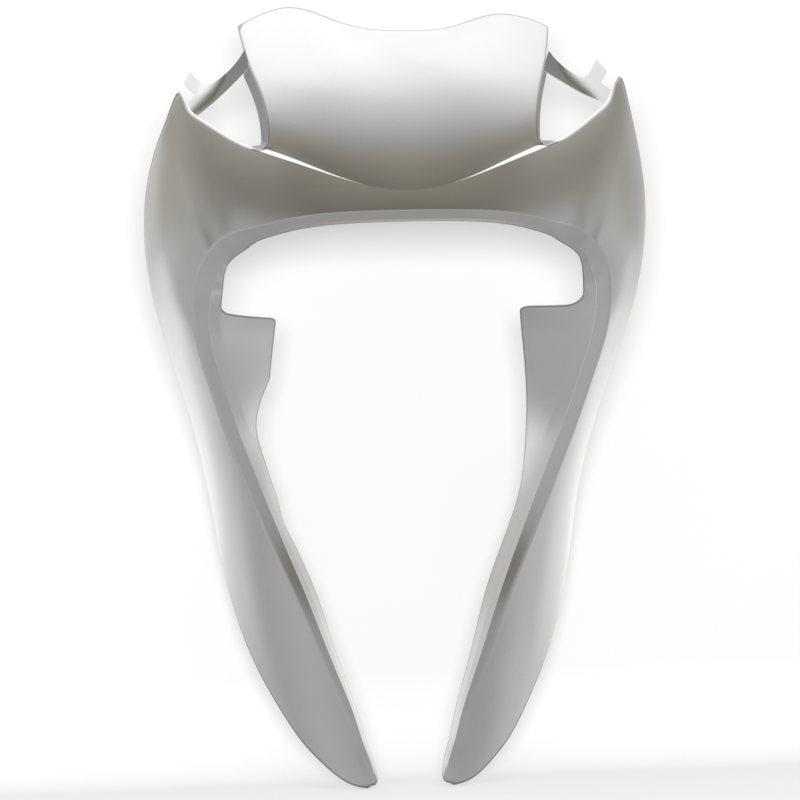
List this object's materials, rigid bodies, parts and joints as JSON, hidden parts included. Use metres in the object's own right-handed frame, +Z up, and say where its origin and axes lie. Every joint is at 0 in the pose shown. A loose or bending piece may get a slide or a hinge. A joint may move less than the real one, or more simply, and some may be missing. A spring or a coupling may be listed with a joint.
{
  "type": "front fairing",
  "caption": "Thin moulded silver front fairing for a small motorbike: a curved bib and wings over an arch, long legs that hug the wheel, lamp windows and inner flanges.",
  "frame": {"origin": "midway between the mouths of the two upper screw bosses, on the middle plane", "axes": "+Z up as fitted, +Y to the rear, the way the screws leave the bosses, +X to the left as the rider sits; the front faces -Y"},
  "size_m": [0.3928, 0.1971, 0.5993],
  "materials": {
    "silver_paint": "silver metallic paint under clear lacquer on moulded ABS"
  },
  "bodies": {
    "root": {"front_fairing": "silver_paint"}
  },
  "joints": []
}
